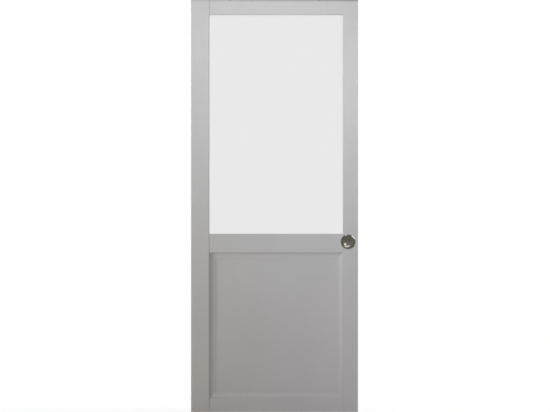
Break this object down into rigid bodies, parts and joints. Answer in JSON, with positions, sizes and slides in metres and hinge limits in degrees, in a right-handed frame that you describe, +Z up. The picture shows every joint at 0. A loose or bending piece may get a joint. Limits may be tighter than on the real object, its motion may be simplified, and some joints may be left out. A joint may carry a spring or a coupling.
{
  "type": "sliding door",
  "caption": "Top-hung sliding door: a painted leaf with a tall satin glass light over a moulded panel and round flush pulls, on roller trolleys in a head track, with a floor guide.",
  "frame": {"origin": "on the finished floor at the middle of the floor guide, under the middle of the track", "axes": "+X to the right seen from the front, -Y out of the front face, +Z up"},
  "size_m": [1.652, 0.045, 2.086],
  "materials": {
    "satin_paint": "light grey satin paint on wood",
    "satin_glass": "satin etched",
    "glazing_tape": "grey foam tape",
    "black_rubber": "matt",
    "beech": "bare beech",
    "dark_nickel": "polished dark nickel",
    "zinc_plate": "zinc plated",
    "steel": "bright steel",
    "zinc_casting": "plain die cast zinc",
    "nylon": "natural nylon",
    "anodised_aluminium": "silver anodised"
  },
  "bodies": {
    "fixed_track": {"top_track": "anodised_aluminium", "left_stop_body": "zinc_casting", "right_stop_body": "zinc_casting", "left_stop_buffer": "black_rubber", "right_stop_buffer": "black_rubber", "stop_screws": "steel", "floor_guide": "zinc_plate"},
    "leaf": {"left_stile": "satin_paint", "right_stile": "satin_paint", "top_rail": "satin_paint", "middle_rail": "satin_paint", "bottom_rail": "satin_paint", "lower_panel": "satin_paint", "front_moulding_bottom": "satin_paint", "front_moulding_right": "satin_paint", "front_moulding_top": "satin_paint", "front_moulding_left": "satin_paint", "rear_moulding_bottom": "satin_paint", "rear_moulding_right": "satin_paint", "rear_moulding_top": "satin_paint", "rear_moulding_left": "satin_paint", "glazing_bead_bottom": "satin_paint", "glazing_bead_right": "satin_paint", "glazing_bead_top": "satin_paint", "glazing_bead_left": "satin_paint", "glass_pane": "satin_glass", "glazing_tape_front": "glazing_tape", "glazing_tape_rear": "glazing_tape", "glass_setting_blocks": "black_rubber", "frame_dowels": "beech", "front_flush_pull": "dark_nickel", "rear_flush_pull": "dark_nickel", "left_hanger_plate": "zinc_plate", "right_hanger_plate": "zinc_plate", "hanger_plate_screws": "zinc_plate", "left_hanger_bolt": "steel", "right_hanger_bolt": "steel", "left_lock_nut": "steel", "right_lock_nut": "steel", "left_trolley_body": "zinc_casting", "right_trolley_body": "zinc_casting", "left_trolley_axle_left": "steel", "left_trolley_axle_right": "steel", "right_trolley_axle_left": "steel", "right_trolley_axle_right": "steel"},
    "left_wheel_front_left": {"left_trolley_wheel_front_left": "nylon"},
    "left_wheel_front_right": {"left_trolley_wheel_front_right": "nylon"},
    "left_wheel_rear_left": {"left_trolley_wheel_rear_left": "nylon"},
    "left_wheel_rear_right": {"left_trolley_wheel_rear_right": "nylon"},
    "right_wheel_front_left": {"right_trolley_wheel_front_left": "nylon"},
    "right_wheel_front_right": {"right_trolley_wheel_front_right": "nylon"},
    "right_wheel_rear_left": {"right_trolley_wheel_rear_left": "nylon"},
    "right_wheel_rear_right": {"right_trolley_wheel_rear_right": "nylon"}
  },
  "joints": [
    {"name": "leaf_slide", "type": "slide", "parent": "fixed_track", "child": "leaf", "axis": [-1, 0, 0], "range_m": [0, 0.766]},
    {"name": "left_wheel_front_left_roll", "type": "hinge", "parent": "leaf", "child": "left_wheel_front_left", "pos_m": [0.138, -0.0118, 2.0695], "axis": [0, -1, 0], "continuous": true},
    {"name": "left_wheel_front_right_roll", "type": "hinge", "parent": "leaf", "child": "left_wheel_front_right", "pos_m": [0.182, -0.0118, 2.0695], "axis": [0, -1, 0], "continuous": true},
    {"name": "left_wheel_rear_left_roll", "type": "hinge", "parent": "leaf", "child": "left_wheel_rear_left", "pos_m": [0.138, 0.0118, 2.0695], "axis": [0, -1, 0], "continuous": true},
    {"name": "left_wheel_rear_right_roll", "type": "hinge", "parent": "leaf", "child": "left_wheel_rear_right", "pos_m": [0.182, 0.0118, 2.0695], "axis": [0, -1, 0], "continuous": true},
    {"name": "right_wheel_front_left_roll", "type": "hinge", "parent": "leaf", "child": "right_wheel_front_left", "pos_m": [0.584, -0.0118, 2.0695], "axis": [0, -1, 0], "continuous": true},
    {"name": "right_wheel_front_right_roll", "type": "hinge", "parent": "leaf", "child": "right_wheel_front_right", "pos_m": [0.628, -0.0118, 2.0695], "axis": [0, -1, 0], "continuous": true},
    {"name": "right_wheel_rear_left_roll", "type": "hinge", "parent": "leaf", "child": "right_wheel_rear_left", "pos_m": [0.584, 0.0118, 2.0695], "axis": [0, -1, 0], "continuous": true},
    {"name": "right_wheel_rear_right_roll", "type": "hinge", "parent": "leaf", "child": "right_wheel_rear_right", "pos_m": [0.628, 0.0118, 2.0695], "axis": [0, -1, 0], "continuous": true}
  ],
  "couplings": [
    {"joint": "left_wheel_front_left_roll", "follows": "leaf_slide", "rad_per_m": 102.04},
    {"joint": "left_wheel_front_right_roll", "follows": "leaf_slide", "rad_per_m": 102.04},
    {"joint": "left_wheel_rear_left_roll", "follows": "leaf_slide", "rad_per_m": 102.04},
    {"joint": "left_wheel_rear_right_roll", "follows": "leaf_slide", "rad_per_m": 102.04},
    {"joint": "right_wheel_front_left_roll", "follows": "leaf_slide", "rad_per_m": 102.04},
    {"joint": "right_wheel_front_right_roll", "follows": "leaf_slide", "rad_per_m": 102.04},
    {"joint": "right_wheel_rear_left_roll", "follows": "leaf_slide", "rad_per_m": 102.04},
    {"joint": "right_wheel_rear_right_roll", "follows": "leaf_slide", "rad_per_m": 102.04}
  ]
}
